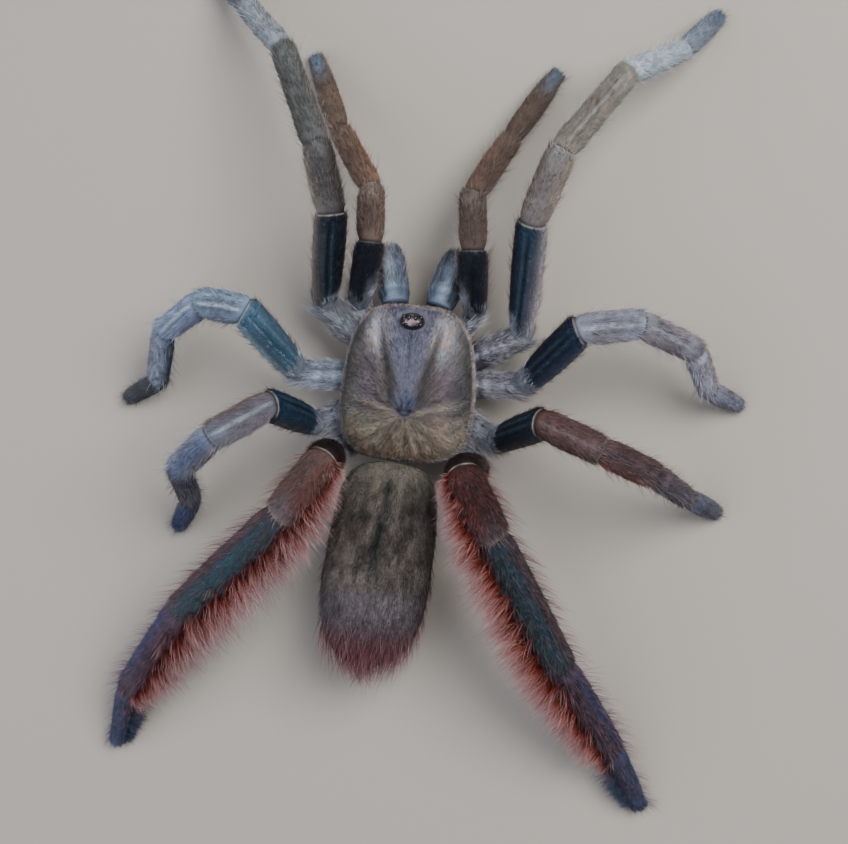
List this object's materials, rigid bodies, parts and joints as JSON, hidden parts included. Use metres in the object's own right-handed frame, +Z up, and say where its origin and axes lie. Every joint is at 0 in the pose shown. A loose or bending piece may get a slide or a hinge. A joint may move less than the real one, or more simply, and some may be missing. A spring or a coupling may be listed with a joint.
{
  "type": "tarantula",
  "caption": "Still, life-size tarantula standing on its feet, with a hairy body, feelers and legs and a long-haired brush on the hind legs.",
  "frame": {"origin": "on the floor, under the centre of the bounding box", "axes": "+Z up, head towards -Y, the spider's left towards +X"},
  "size_m": [0.0774, 0.1, 0.0219],
  "materials": {
    "carapace": "olive-grey shield with a close felt of fine hair",
    "eye_mound": "dark mound with eight glossy eyes",
    "abdomen": "speckled grey-brown velvet with reddish hair at the rear",
    "underside": "pale lavender-grey hair over dark skin",
    "chelicera": "pale blue-grey hair with dark stripes",
    "fang": "glossy black",
    "spinneret": "brown-grey hair",
    "femur": "deep blue-black with a teal sheen",
    "patella": "taupe hair",
    "tibia": "taupe hair, with a long salmon-red brush on the hind legs",
    "metatarsus": "mauve-grey hair",
    "tarsus": "blue-grey hair"
  },
  "bodies": {
    "root": {"carapace": "carapace", "eye_mound": "eye_mound", "abdomen": "abdomen", "underside": "underside", "chelicera_left": "chelicera", "fang_left": "fang", "spinneret_left": "spinneret", "palp_left_femur": "femur", "palp_left_patella": "patella", "palp_left_tibia": "tibia", "palp_left_tarsus": "tarsus", "leg1_left_femur": "femur", "leg1_left_patella": "patella", "leg1_left_tibia": "tibia", "leg1_left_metatarsus": "metatarsus", "leg1_left_tarsus": "tarsus", "leg2_left_femur": "femur", "leg2_left_patella": "patella", "leg2_left_tibia": "tibia", "leg2_left_metatarsus": "metatarsus", "leg2_left_tarsus": "tarsus", "leg3_left_femur": "femur", "leg3_left_patella": "patella", "leg3_left_tibia": "tibia", "leg3_left_metatarsus": "metatarsus", "leg3_left_tarsus": "tarsus", "leg4_left_femur": "femur", "leg4_left_patella": "patella", "leg4_left_tibia": "tibia", "leg4_left_metatarsus": "metatarsus", "leg4_left_tarsus": "tarsus", "chelicera_right": "chelicera", "fang_right": "fang", "spinneret_right": "spinneret", "palp_right_femur": "femur", "palp_right_patella": "patella", "palp_right_tibia": "tibia", "palp_right_tarsus": "tarsus", "leg1_right_femur": "femur", "leg1_right_patella": "patella", "leg1_right_tibia": "tibia", "leg1_right_metatarsus": "metatarsus", "leg1_right_tarsus": "tarsus", "leg2_right_femur": "femur", "leg2_right_patella": "patella", "leg2_right_tibia": "tibia", "leg2_right_metatarsus": "metatarsus", "leg2_right_tarsus": "tarsus", "leg3_right_femur": "femur", "leg3_right_patella": "patella", "leg3_right_tibia": "tibia", "leg3_right_metatarsus": "metatarsus", "leg3_right_tarsus": "tarsus", "leg4_right_femur": "femur", "leg4_right_patella": "patella", "leg4_right_tibia": "tibia", "leg4_right_metatarsus": "metatarsus", "leg4_right_tarsus": "tarsus"}
  },
  "joints": []
}
